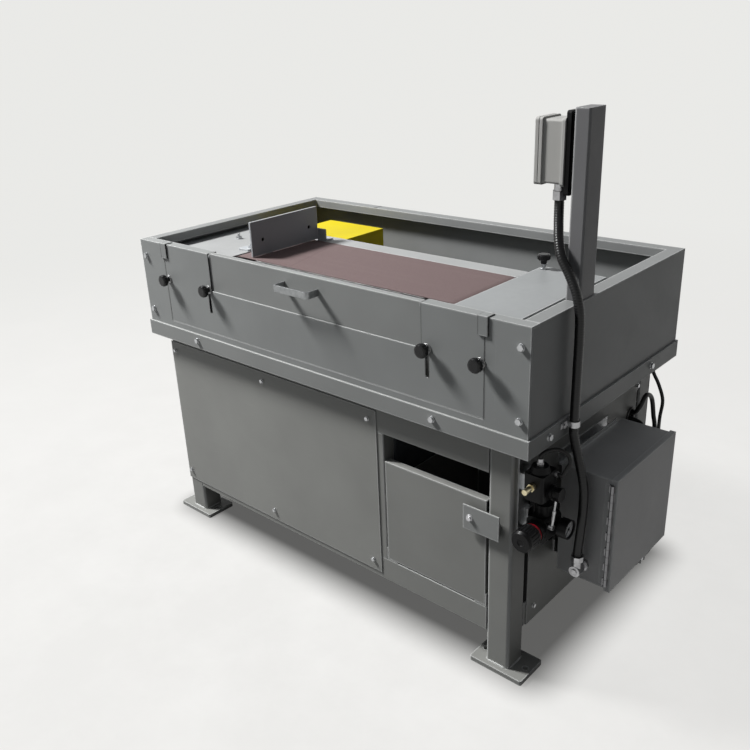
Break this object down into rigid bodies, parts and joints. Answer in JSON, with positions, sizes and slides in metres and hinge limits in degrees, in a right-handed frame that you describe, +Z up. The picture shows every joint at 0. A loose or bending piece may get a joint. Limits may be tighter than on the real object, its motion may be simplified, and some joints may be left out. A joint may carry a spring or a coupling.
{
  "type": "horizontal wide belt sander",
  "caption": "Floor-standing horizontal belt sander: wide abrasive belt over a platen in a walled tub with a sliding front gate, on a stand with dust bin, push-button post and air-tensioned idler.",
  "frame": {"origin": "on the floor in the middle of the four feet", "axes": "+X to the operator's right along the belt, +Y to the back, +Z up"},
  "size_m": [1.4433, 0.7597, 1.287],
  "materials": {
    "enamel": "mid grey satin enamel",
    "yellow_enamel": "safety yellow enamel",
    "motor_enamel": "dark grey enamel",
    "zinc": "bright zinc plate",
    "steel": "ground steel",
    "drum": "steel drum with dark lagging",
    "casting": "painted casting",
    "aluminium": "anodised",
    "station_cast": "grey painted die casting",
    "abrasive": "brown abrasive cloth",
    "black_knob": "moulded black",
    "black_plastic": "satin black",
    "green_plastic": "green moulding",
    "red_plastic": "red moulding",
    "pale_plastic": "pale moulding",
    "rubber": "black jacket",
    "brass": "plain brass"
  },
  "bodies": {
    "base": {"legs": "enamel", "rails": "enamel", "cross_members": "enamel", "front_panel": "enamel", "base_panels": "enamel", "bin_runners": "enamel", "tray": "enamel", "tub_walls": "enamel", "front_frame": "enamel", "bolts": "zinc", "bed_frame": "enamel", "platen": "steel", "abrasive_belt": "abrasive", "drive_bearings": "casting", "stands": "enamel", "tension_cylinder": "aluminium", "fixed_covers": "enamel", "work_stop": "steel", "drive_guard": "yellow_enamel", "motor": "motor_enamel", "v_belts": "rubber", "post": "enamel", "station_box": "station_cast", "station_back": "black_plastic", "conduit": "rubber", "fittings": "zinc", "enclosure": "enamel", "starter": "pale_plastic", "cables": "rubber", "mount_bars": "zinc", "air_valve": "black_plastic", "air_regulator": "black_plastic", "regulator_ring": "red_plastic", "air_gauge": "black_plastic", "air_tubes": "rubber", "air_fittings": "brass"},
    "bin": {"dust_bin": "enamel", "bin_catch": "enamel"},
    "access_panel": {"access_panel": "enamel"},
    "gate": {"gate": "enamel", "gate_handle": "enamel"},
    "gate_knob_left": {"gate_knob_left": "black_knob"},
    "gate_knob_right": {"gate_knob_right": "black_knob"},
    "panel_knob_left": {"panel_knob_left": "black_knob"},
    "panel_knob_right": {"panel_knob_right": "black_knob"},
    "drive": {"drive_drum": "drum", "drum_pulley": "casting"},
    "motor_rotor": {"motor_pulley": "casting"},
    "carriage": {"idler_carriage": "steel", "idler_bearings": "casting"},
    "idler": {"idler_drum": "steel"},
    "tracking_knob": {"tracking_knob": "black_knob"},
    "cover_right": {"cover_right": "enamel"},
    "cover_knob": {"cover_knob": "black_knob"},
    "door": {"enclosure_door": "enamel"},
    "latch": {"door_latch": "zinc"},
    "start_button": {"start_button": "green_plastic"},
    "stop_button": {"stop_button": "red_plastic"},
    "regulator_knob": {"regulator_knob": "black_plastic"},
    "gauge_needle": {"gauge_needle": "black_plastic"}
  },
  "joints": [
    {"name": "bin_slide", "type": "slide", "parent": "base", "child": "bin", "axis": [0, -1, 0], "range_m": [0, 0.4]},
    {"name": "panel_removal", "type": "slide", "parent": "base", "child": "access_panel", "axis": [0, -1, 0], "range_m": [0, 0.15]},
    {"name": "gate_slide", "type": "slide", "parent": "access_panel", "child": "gate", "axis": [0, 0, -1], "range_m": [0, 0.058]},
    {"name": "gate_knob_left_turn", "type": "hinge", "parent": "gate", "child": "gate_knob_left", "pos_m": [-0.358, -0.36, 0.798], "axis": [0, -1, 0], "range_deg": [0, 720]},
    {"name": "gate_knob_right_turn", "type": "hinge", "parent": "gate", "child": "gate_knob_right", "pos_m": [0.4, -0.36, 0.798], "axis": [0, -1, 0], "range_deg": [0, 720]},
    {"name": "panel_knob_left_turn", "type": "hinge", "parent": "access_panel", "child": "panel_knob_left", "pos_m": [-0.541, -0.36, 0.798], "axis": [0, -1, 0], "range_deg": [0, 720]},
    {"name": "panel_knob_right_turn", "type": "hinge", "parent": "access_panel", "child": "panel_knob_right", "pos_m": [0.541, -0.36, 0.798], "axis": [0, -1, 0], "range_deg": [0, 720]},
    {"name": "drive_spin", "type": "hinge", "parent": "base", "child": "drive", "pos_m": [-0.365, -0.109, 0.8105], "axis": [0, 1, 0], "continuous": true},
    {"name": "motor_spin", "type": "hinge", "parent": "base", "child": "motor_rotor", "pos_m": [-0.365, 0.165, 0.2903], "axis": [0, 1, 0], "continuous": true},
    {"name": "tension_release", "type": "slide", "parent": "base", "child": "carriage", "axis": [-1, 0, 0], "range_m": [0, 0.02]},
    {"name": "idler_spin", "type": "hinge", "parent": "carriage", "child": "idler", "pos_m": [0.365, -0.109, 0.8105], "axis": [0, 1, 0], "continuous": true},
    {"name": "tracking_turn", "type": "hinge", "parent": "carriage", "child": "tracking_knob", "pos_m": [0.445, -0.265, 0.788], "axis": [1, 0, 0], "range_deg": [-360, 360]},
    {"name": "cover_lift", "type": "slide", "parent": "base", "child": "cover_right", "axis": [0, 0, 1], "range_m": [0, 0.12]},
    {"name": "cover_knob_turn", "type": "hinge", "parent": "cover_right", "child": "cover_knob", "pos_m": [0.4, 0.117, 0.863], "axis": [0, 0, 1], "range_deg": [0, 720]},
    {"name": "door_swing", "type": "hinge", "parent": "base", "child": "door", "pos_m": [0.768, -0.182, 0.371], "axis": [0, 0, -1], "range_deg": [0, 110]},
    {"name": "latch_swing", "type": "hinge", "parent": "door", "child": "latch", "pos_m": [0.7713, 0.002, 0.214], "axis": [0, -1, 0], "range_deg": [0, 90]},
    {"name": "start_press", "type": "slide", "parent": "base", "child": "start_button", "axis": [1, 0, 0], "range_m": [0, 0.004], "stiffness_N_per_m": 800},
    {"name": "stop_press", "type": "slide", "parent": "base", "child": "stop_button", "axis": [1, 0, 0], "range_m": [0, 0.005], "stiffness_N_per_m": 800},
    {"name": "regulator_turn", "type": "hinge", "parent": "base", "child": "regulator_knob", "pos_m": [0.652, -0.318, 0.405], "axis": [0, -1, 0], "range_deg": [0, 1080]},
    {"name": "needle_swing", "type": "hinge", "parent": "base", "child": "gauge_needle", "pos_m": [0.707, -0.25625, 0.407], "axis": [-1, 0, 0], "range_deg": [0, 270], "stiffness_Nm_per_rad": 0.002}
  ],
  "couplings": [
    {"joint": "motor_spin", "follows": "drive_spin", "ratio": 0.66667},
    {"joint": "idler_spin", "follows": "drive_spin", "ratio": 1}
  ]
}
